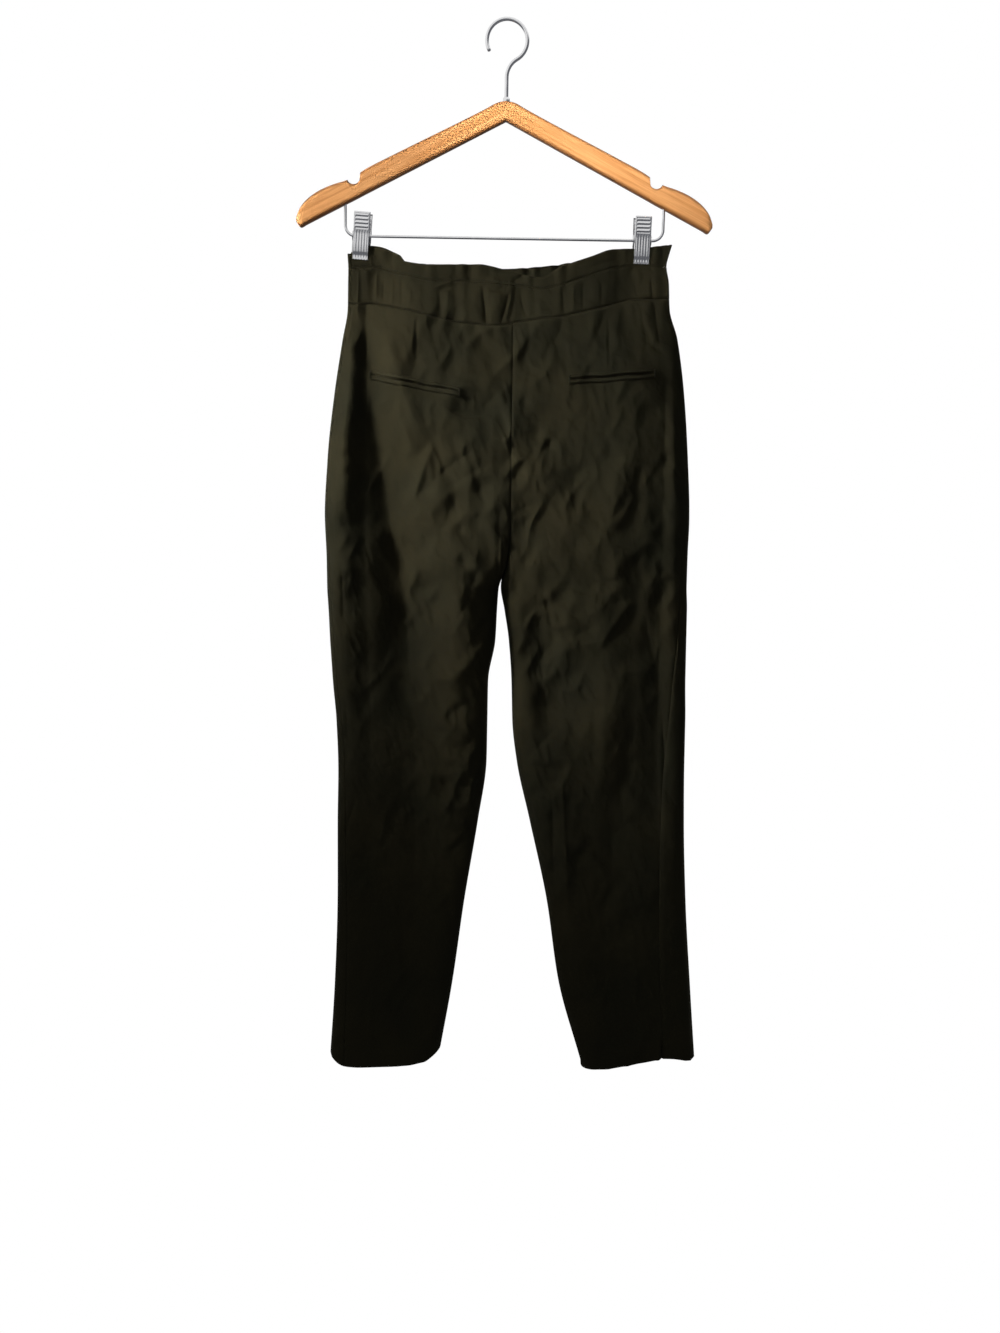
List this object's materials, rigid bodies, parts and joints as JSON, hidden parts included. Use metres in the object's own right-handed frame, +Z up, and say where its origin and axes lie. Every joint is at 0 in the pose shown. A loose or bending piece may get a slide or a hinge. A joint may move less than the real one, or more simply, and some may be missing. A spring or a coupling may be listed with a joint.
{
  "type": "paperbag waist trousers on a wooden clip hanger",
  "caption": "Dark twill paperbag waist trousers with gathered frill, jetted back pockets and slit ankle hems, hanging by the waist from a wooden hanger with a clip bar.",
  "frame": {"origin": "inner top of the hanger's hook, where a rail carries it", "axes": "+Z up; the back of the trousers faces -Y; +X to the right when looking at the back"},
  "size_m": [0.4442, 0.0772, 1.154],
  "materials": {
    "cloth": "dark olive-black twill with a faint sheen",
    "wood": "clear satin varnish",
    "wire": "bright plated wire",
    "clip": "bright plated pressed sheet"
  },
  "bodies": {
    "root": {"back_left": "cloth", "back_right": "cloth", "front_left": "cloth", "front_right": "cloth", "waistband_back": "cloth", "waistband_front": "cloth", "frill_back": "cloth", "frill_front": "cloth", "pocket_left_upper_welt": "cloth", "pocket_left_lower_welt": "cloth", "pocket_right_upper_welt": "cloth", "pocket_right_lower_welt": "cloth", "hanger_yoke": "wood", "hanger_hook": "wire", "hanger_bar": "wire", "clip_left_front_jaw": "clip", "clip_left_rear_jaw": "clip", "clip_left_spring": "clip", "clip_right_front_jaw": "clip", "clip_right_rear_jaw": "clip", "clip_right_spring": "clip"}
  },
  "joints": []
}
